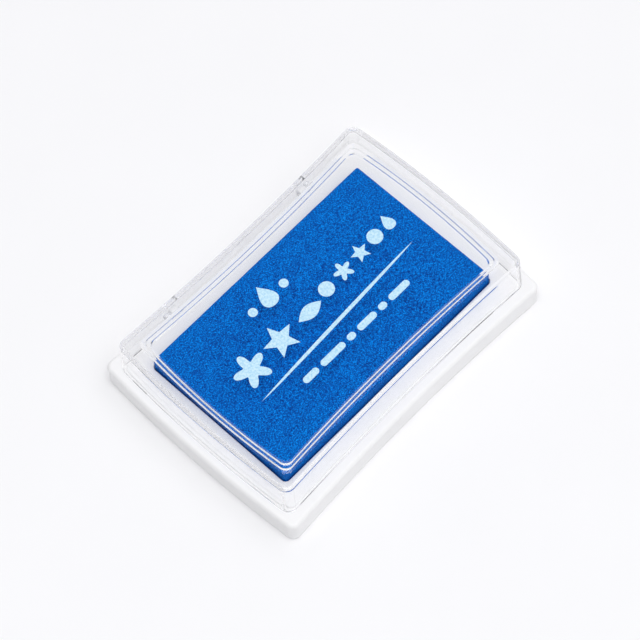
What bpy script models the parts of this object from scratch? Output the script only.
"""Craft ink pad: white moulded tray, inked pad in its well, clear lid on two snap hinges.

Blender 4.5, metres, +Z up.  X runs along the pad, +Y points to the hinges, and the origin
is the middle of the underside.  Running the script makes one object for each piece.
"""
import math

import bmesh
import bpy
from mathutils import Matrix, Vector

# Driving dimensions
TRAY_LENGTH = 0.0722        # between the corners of the tray; the ends swell beyond it
TRAY_DEPTH = 0.0529
TOTAL_HEIGHT = 0.0164       # top of the lid's rim, lid closed
LEDGE_HEIGHT = 0.0060       # the lid stands on this ledge
PLATEAU_HEIGHT = 0.0064     # flat ground round the pad, just inside the lid's wall
END_SWELL = 0.0011          # how far the tray's short sides swell out at their middle
SIDE_DIP = 0.0013           # how far the tray's long sides dip in at their middle
TRAY_CORNER = 0.0018
TRAY_WALL = 0.0013
FLOOR = 0.0012
EDGE_ROUND = 0.0009
FOOT_ROUND = 0.0004

LID_LENGTH = 0.0686         # at the foot, between the corners
LID_DEPTH = 0.0479
LID_SWELL = 0.0010
LID_DIP = 0.0010
LID_CORNER = 0.0020
LID_WALL = 0.0009
LID_DRAFT = 0.00035         # the walls lean in by this much from foot to top
LID_ROUND = 0.0007
PANEL_THICKNESS = 0.0009
PANEL_INSET = 0.00305       # from the rim's edge to the first of the steps down to the panel
PANEL_STEPS = 2
STEP_PITCH = 0.00085        # from one step to the next
STEP_WIDTH = 0.0003         # each step is a short slope, this wide and this deep
STEP_DROP = 0.00025
PANEL_CORNER = 0.0014

PAD_LENGTH = 0.0594
PAD_DEPTH = 0.0367
PAD_TOP = 0.0096
PAD_CORNER = 0.0008
COVER_THICKNESS = 0.0005
COVER_FOOT = 0.0034
FELT_TOP = 0.0054
TAPE_THICKNESS = 0.00025

GAP = 0.0003                # running gap between touching pieces
PLATEAU_GAP = 0.0005        # from the plateau's edge to the lid's wall

HINGE_Y = 0.0241            # hinge axis, parallel to X
HINGE_Z = 0.0075
HINGE_X = 0.0185            # middle of each ear, both sides of centre
EAR_WIDTH = 0.0018
EAR_RADIUS = 0.0012
PIN_RADIUS = 0.0004
ARM_WIDTH = 0.0012
ARM_RADIUS = 0.0010
ARM_SWEEP = 120             # degrees of the arm's round end, from its lowest point
ARM_ROOT = 0.0030           # how far up the wall the arm runs

RIB_THICKNESS = 0.0009      # webs under the ledge
RIB_X = 0.0200
RIB_Y = 0.0080

# Sizes that follow from them
LID_FOOT = LEDGE_HEIGHT + GAP
PANEL_TOP = TOTAL_HEIGHT - PANEL_STEPS * STEP_DROP
CEILING = PANEL_TOP - PANEL_THICKNESS
WELL_LENGTH = PAD_LENGTH + 2 * GAP
WELL_DEPTH = PAD_DEPTH + 2 * GAP
BLOCK_LENGTH = WELL_LENGTH + 2 * TRAY_WALL
BLOCK_DEPTH = WELL_DEPTH + 2 * TRAY_WALL
CORE_LENGTH = PAD_LENGTH - 2 * (COVER_THICKNESS + GAP)
CORE_DEPTH = PAD_DEPTH - 2 * (COVER_THICKNESS + GAP)
BACK_WALL = LID_DEPTH / 2 - LID_DIP * (1 - (2 * HINGE_X / LID_LENGTH) ** 2)

CORNER_STEPS = 6
LONG_STEPS = 12
SHORT_STEPS = 8
ROUND_STEPS = 12            # steps round a hinge eye
BIG = 0.05                  # reach of a cutter past the piece it cuts

# Maps a profile drawn in X and Y to one in Y and Z, thick along X.
YZ_PLANE = Matrix(((0, 0, 1, 0), (1, 0, 0, 0), (0, 1, 0, 0), (0, 0, 0, 1)))


def clear_scene():
    for obj in list(bpy.data.objects):
        bpy.data.objects.remove(obj, do_unlink=True)


def new_collection(name, cutters=False):
    collection = bpy.data.collections.new(name)
    bpy.context.scene.collection.children.link(collection)
    collection.hide_render = cutters
    return collection


def make_material(name, colour, roughness, metallic=0.0, alpha=1.0, transmission=0.0):
    material = bpy.data.materials.new(name)
    material.use_nodes = True
    shader = material.node_tree.nodes["Principled BSDF"]
    shader.inputs["Base Color"].default_value = (*colour, 1.0)
    shader.inputs["Roughness"].default_value = roughness
    shader.inputs["Metallic"].default_value = metallic
    shader.inputs["Alpha"].default_value = alpha
    shader.inputs["Transmission Weight"].default_value = transmission
    material.diffuse_color = (*colour, alpha)
    return material


def rounded_rectangle(length, depth, radius, swell=0.0, dip=0.0):
    """Outline points, anticlockwise: short sides swell out, long sides dip in."""
    half_x, half_y = length / 2, depth / 2
    centres = [(half_x - radius, half_y - radius), (radius - half_x, half_y - radius),
               (radius - half_x, radius - half_y), (half_x - radius, radius - half_y)]
    straight = []
    for quarter, (cx, cy) in enumerate(centres):
        for step in range(CORNER_STEPS + 1):
            angle = (quarter + step / CORNER_STEPS) * math.pi / 2
            straight.append((cx + radius * math.cos(angle), cy + radius * math.sin(angle)))
        nx, ny = centres[(quarter + 1) % 4]
        start = straight[-1]
        end_angle = (quarter + 1) * math.pi / 2
        end = (nx + radius * math.cos(end_angle), ny + radius * math.sin(end_angle))
        steps = LONG_STEPS if quarter % 2 == 0 else SHORT_STEPS
        if not (swell or dip):
            steps = 1
        for step in range(1, steps):
            part = step / steps
            straight.append((start[0] + (end[0] - start[0]) * part,
                             start[1] + (end[1] - start[1]) * part))
    return [bow(x, y, half_x, half_y, swell, dip) for x, y in straight]


def bow(x, y, half_x, half_y, swell, dip):
    out_x = x + swell * (1 - (y / half_y) ** 2) * x / half_x
    out_y = y - dip * (1 - (x / half_x) ** 2) * y / half_y
    return out_x, out_y


def prism(name, outline, low, high, collection, matrix=None, top_scale=(1.0, 1.0)):
    """A flat outline made thick from low to high, as a clean closed mesh."""
    curve = bpy.data.curves.new(name + "_outline", "CURVE")
    curve.dimensions = "2D"
    curve.fill_mode = "BOTH"
    curve.extrude = (high - low) / 2
    spline = curve.splines.new("POLY")
    spline.points.add(len(outline) - 1)
    for point, (x, y) in zip(spline.points, outline):
        point.co = (x, y, 0, 1)
    spline.use_cyclic_u = True
    source = bpy.data.objects.new(name + "_outline", curve)
    collection.objects.link(source)
    graph = bpy.context.evaluated_depsgraph_get()
    mesh = bpy.data.meshes.new_from_object(source.evaluated_get(graph))
    mesh.name = name
    bpy.data.objects.remove(source)
    bpy.data.curves.remove(curve)

    shape = bmesh.new()
    shape.from_mesh(mesh)
    bmesh.ops.remove_doubles(shape, verts=shape.verts, dist=1e-7)
    for side in (1, -1):
        cap = [face for face in shape.faces if face.normal.z * side > 0.99]
        bmesh.ops.dissolve_faces(shape, faces=cap)
    bmesh.ops.recalc_face_normals(shape, faces=shape.faces)
    for vert in shape.verts:
        if vert.co.z > 0:
            vert.co.x *= top_scale[0]
            vert.co.y *= top_scale[1]
        vert.co.z += (high + low) / 2
    if matrix is not None:
        bmesh.ops.transform(shape, matrix=matrix, verts=shape.verts)
    shape.to_mesh(mesh)
    shape.free()
    return add_object(name, mesh, collection)


def cylinder_along_x(name, radius, x_low, x_high, y, z, collection, segments=24):
    shape = bmesh.new()
    bmesh.ops.create_cone(shape, cap_ends=True, segments=segments, radius1=radius,
                          radius2=radius, depth=x_high - x_low)
    turn = Matrix.Rotation(math.pi / 2, 4, "Y")
    place = Matrix.Translation(((x_low + x_high) / 2, y, z))
    bmesh.ops.transform(shape, matrix=place @ turn, verts=shape.verts)
    mesh = bpy.data.meshes.new(name)
    shape.to_mesh(mesh)
    shape.free()
    return add_object(name, mesh, collection)


def block(name, low, high, collection):
    shape = bmesh.new()
    bmesh.ops.create_cube(shape, size=1.0)
    low, high = Vector(low), Vector(high)
    size = Matrix.Diagonal((*(high - low), 1.0))
    bmesh.ops.transform(shape, matrix=Matrix.Translation((low + high) / 2) @ size,
                        verts=shape.verts)
    mesh = bpy.data.meshes.new(name)
    shape.to_mesh(mesh)
    shape.free()
    return add_object(name, mesh, collection)


def add_object(name, mesh, collection):
    obj = bpy.data.objects.new(name, mesh)
    collection.objects.link(obj)
    return obj


def round_level(obj, level, width, segments):
    """Rounds the edges that lie flat at one height."""
    shape = bmesh.new()
    shape.from_mesh(obj.data)
    edges = [edge for edge in shape.edges
             if all(abs(vert.co.z - level) < 1e-6 for vert in edge.verts)]
    bmesh.ops.bevel(shape, geom=edges, offset=width, segments=segments, profile=0.5,
                    affect="EDGES", clamp_overlap=True)
    shape.to_mesh(obj.data)
    shape.free()


def combine(obj, tool, operation):
    """Adds one Boolean step; its tool becomes a wire guide."""
    step = obj.modifiers.new(tool.name, "BOOLEAN")
    step.operation = operation
    step.solver = "EXACT"
    step.object = tool
    tool.hide_render = True
    tool.display_type = "WIRE"


def finish_piece(obj, material):
    """Applies the Boolean steps and shades rounds smooth."""
    graph = bpy.context.evaluated_depsgraph_get()
    mesh = bpy.data.meshes.new_from_object(obj.evaluated_get(graph))
    mesh.name = obj.name
    obj.modifiers.clear()
    obj.data = mesh
    mesh.materials.clear()
    mesh.materials.append(material)
    mesh.shade_smooth()
    mesh.set_sharp_from_angle(angle=math.radians(35))


def ear_profile():
    """Upright hinge ear in Y and Z: a round eye on a stem that stands in the ledge."""
    stem = LEDGE_HEIGHT - TRAY_WALL / 2
    points = [(HINGE_Y - EAR_RADIUS, stem), (HINGE_Y + EAR_RADIUS, stem)]
    for step in range(ROUND_STEPS + 1):
        angle = math.pi * step / ROUND_STEPS
        points.append((HINGE_Y + EAR_RADIUS * math.cos(angle), HINGE_Z + EAR_RADIUS * math.sin(angle)))
    return points


def arm_profile():
    """Hinge arm in Y and Z: a round end that runs up into the lid's back wall."""
    root_y = BACK_WALL - LID_WALL / 2 - LID_DRAFT / 2
    points = [(root_y, HINGE_Z - ARM_RADIUS)]
    for step in range(ROUND_STEPS + 1):
        angle = math.radians(ARM_SWEEP * step / ROUND_STEPS - 90)
        points.append((HINGE_Y + ARM_RADIUS * math.cos(angle), HINGE_Z + ARM_RADIUS * math.sin(angle)))
    points.append((root_y, HINGE_Z + ARM_ROOT))
    return points


def make_ribs(tray, cutters):
    """Short webs that tie the skirt to the well under the ledge."""
    top = LEDGE_HEIGHT - TRAY_WALL / 2
    half = RIB_THICKNESS / 2
    inner_x, inner_y = (BLOCK_LENGTH - TRAY_WALL) / 2, (BLOCK_DEPTH - TRAY_WALL) / 2
    outer_x = (TRAY_LENGTH - TRAY_WALL) / 2
    outer_y = (TRAY_DEPTH - TRAY_WALL) / 2 - SIDE_DIP
    for side in (-1, 1):
        for x in (-RIB_X, 0, RIB_X):
            low_y, high_y = sorted((side * inner_y, side * outer_y))
            rib = block(f"rib_long_{side}_{x:.3f}", (x - half, low_y, 2 * GAP),
                        (x + half, high_y, top), cutters)
            combine(tray, rib, "UNION")
        for y in (-RIB_Y, RIB_Y):
            low_x, high_x = sorted((side * inner_x, side * outer_x))
            rib = block(f"rib_end_{side}_{y:.3f}", (low_x, y - half, 2 * GAP),
                        (high_x, y + half, top), cutters)
            combine(tray, rib, "UNION")


def make_tray(parts, cutters, material):
    """Skirt and ledge, a hollow underneath, the plateau, and the block with the pad's well."""
    tray = prism("base_tray", rounded_rectangle(TRAY_LENGTH, TRAY_DEPTH, TRAY_CORNER, END_SWELL, SIDE_DIP),
                 0, LEDGE_HEIGHT, parts)
    round_level(tray, LEDGE_HEIGHT, EDGE_ROUND, 4)
    round_level(tray, 0, FOOT_ROUND, 2)

    inside = rounded_rectangle(TRAY_LENGTH - 2 * TRAY_WALL, TRAY_DEPTH - 2 * TRAY_WALL,
                               TRAY_CORNER / 2, END_SWELL, SIDE_DIP)
    combine(tray, prism("under_hollow", inside, -BIG, LEDGE_HEIGHT - TRAY_WALL, cutters), "DIFFERENCE")

    plateau = prism("plateau", lid_outline(LID_WALL + PLATEAU_GAP, LID_CORNER - LID_WALL),
                    LEDGE_HEIGHT - TRAY_WALL / 2, PLATEAU_HEIGHT, cutters)
    round_level(plateau, PLATEAU_HEIGHT, GAP / 2, 2)
    combine(tray, plateau, "UNION")
    combine(tray, prism("well_block", rounded_rectangle(BLOCK_LENGTH, BLOCK_DEPTH, 2 * TRAY_WALL),
                        0, LEDGE_HEIGHT, cutters), "UNION")
    make_ribs(tray, cutters)

    for side in (-1, 1):
        low = side * HINGE_X - EAR_WIDTH / 2
        ear = prism(f"ear_{side}", ear_profile(), low, low + EAR_WIDTH, cutters, YZ_PLANE)
        combine(tray, ear, "UNION")
        eye = cylinder_along_x(f"ear_eye_{side}", PIN_RADIUS + GAP, low - GAP, low + EAR_WIDTH + GAP,
                               HINGE_Y, HINGE_Z, cutters)
        combine(tray, eye, "DIFFERENCE")

    well = rounded_rectangle(WELL_LENGTH, WELL_DEPTH, PAD_CORNER + GAP)
    combine(tray, prism("well", well, FLOOR, BIG, cutters), "DIFFERENCE")
    finish_piece(tray, material)


def lid_outline(inset, radius):
    return rounded_rectangle(LID_LENGTH - 2 * inset, LID_DEPTH - 2 * inset, radius, LID_SWELL, LID_DIP)


def lean(inset, distance):
    """Scale that moves a lid outline's top edge in by a distance, or out if it is negative."""
    return (1 - distance / (LID_LENGTH / 2 - inset), 1 - distance / (LID_DEPTH / 2 - inset))


def make_lid(parts, cutters, material):
    """A box open below, with a flat rim and two fine steps down to a panel."""
    lid = prism("clear_lid", lid_outline(0, LID_CORNER), LID_FOOT, TOTAL_HEIGHT, parts,
                top_scale=lean(0, LID_DRAFT))
    round_level(lid, TOTAL_HEIGHT, LID_ROUND, 4)

    inside = prism("lid_hollow", lid_outline(LID_WALL, LID_CORNER - LID_WALL), LID_FOOT - GAP, CEILING,
                   cutters, top_scale=lean(LID_WALL, LID_DRAFT))
    round_level(inside, CEILING, LID_ROUND / 2, 2)
    combine(lid, inside, "DIFFERENCE")
    for step in range(PANEL_STEPS):
        edge = LID_DRAFT + PANEL_INSET + step * STEP_PITCH + STEP_WIDTH
        low = TOTAL_HEIGHT - (step + 1) * STEP_DROP
        recess = prism(f"panel_recess_{step}", lid_outline(edge, PANEL_CORNER), low,
                       TOTAL_HEIGHT + STEP_DROP, cutters, top_scale=lean(edge, -(step + 2) * STEP_WIDTH))
        combine(lid, recess, "DIFFERENCE")

    notch = EAR_WIDTH / 2 + GAP
    for side in (-1, 1):
        middle = side * HINGE_X
        cut = block(f"ear_notch_{side}", (middle - notch, BACK_WALL - 3 * LID_WALL, LID_FOOT - GAP),
                    (middle + notch, HINGE_Y + BIG, HINGE_Z + EAR_RADIUS + 2 * GAP), cutters)
        combine(lid, cut, "DIFFERENCE")
        near, far = sorted((middle + side * notch, middle + side * (notch + ARM_WIDTH)))
        combine(lid, prism(f"arm_{side}", arm_profile(), near, far, cutters, YZ_PLANE), "UNION")
        pin_end, pin_root = middle - side * notch, middle + side * (notch + ARM_WIDTH / 2)
        pin = cylinder_along_x(f"stub_pin_{side}", PIN_RADIUS, min(pin_end, pin_root),
                               max(pin_end, pin_root), HINGE_Y, HINGE_Z, cutters)
        combine(lid, pin, "UNION")
    finish_piece(lid, material)
    return lid


def make_cover(parts, cutters, material):
    cover = prism("pad_cover", rounded_rectangle(PAD_LENGTH, PAD_DEPTH, PAD_CORNER),
                  COVER_FOOT, PAD_TOP, parts)
    round_level(cover, PAD_TOP, PAD_CORNER / 2, 2)
    hollow = rounded_rectangle(PAD_LENGTH - 2 * COVER_THICKNESS, PAD_DEPTH - 2 * COVER_THICKNESS,
                               PAD_CORNER / 2)
    inside = prism("cover_hollow", hollow, COVER_FOOT - BIG, PAD_TOP - COVER_THICKNESS, cutters)
    combine(cover, inside, "DIFFERENCE")
    finish_piece(cover, material)


def make_core(name, low, high, parts, material):
    core = prism(name, rounded_rectangle(CORE_LENGTH, CORE_DEPTH, PAD_CORNER), low, high, parts)
    finish_piece(core, material)


def hang_on_hinge(lid, parts):
    """Puts an empty on the hinge axis and hangs the lid from it."""
    axis = bpy.data.objects.new("lid_hinge_axis", None)
    parts.objects.link(axis)
    axis.location = (0, HINGE_Y, HINGE_Z)
    axis.empty_display_type = "ARROWS"
    axis.empty_display_size = 0.01
    lid.parent = axis
    lid.location = -axis.location


def main():
    clear_scene()
    parts = new_collection("ink_pad")
    cutters = new_collection("cutters", cutters=True)
    white = make_material("white_moulding", (0.86, 0.86, 0.85), 0.30)
    clear = make_material("clear_moulding", (0.93, 0.93, 0.97), 0.06, alpha=0.25, transmission=0.9)
    cloth = make_material("inked_cloth", (0.005, 0.13, 0.52), 0.75)
    foam = make_material("soaked_foam", (0.01, 0.10, 0.42), 0.9)
    felt = make_material("soaked_felt", (0.01, 0.07, 0.32), 0.95)
    tape = make_material("tape", (0.85, 0.83, 0.76), 0.5)

    make_tray(parts, cutters, white)
    lid = make_lid(parts, cutters, clear)
    make_cover(parts, cutters, cloth)
    make_core("foam_core", FELT_TOP + GAP, PAD_TOP - COVER_THICKNESS - GAP, parts, foam)
    tape_low = FLOOR + GAP
    make_core("adhesive_sheet", tape_low, tape_low + TAPE_THICKNESS, parts, tape)
    make_core("ink_felt", tape_low + TAPE_THICKNESS + GAP, FELT_TOP, parts, felt)
    hang_on_hinge(lid, parts)


main()
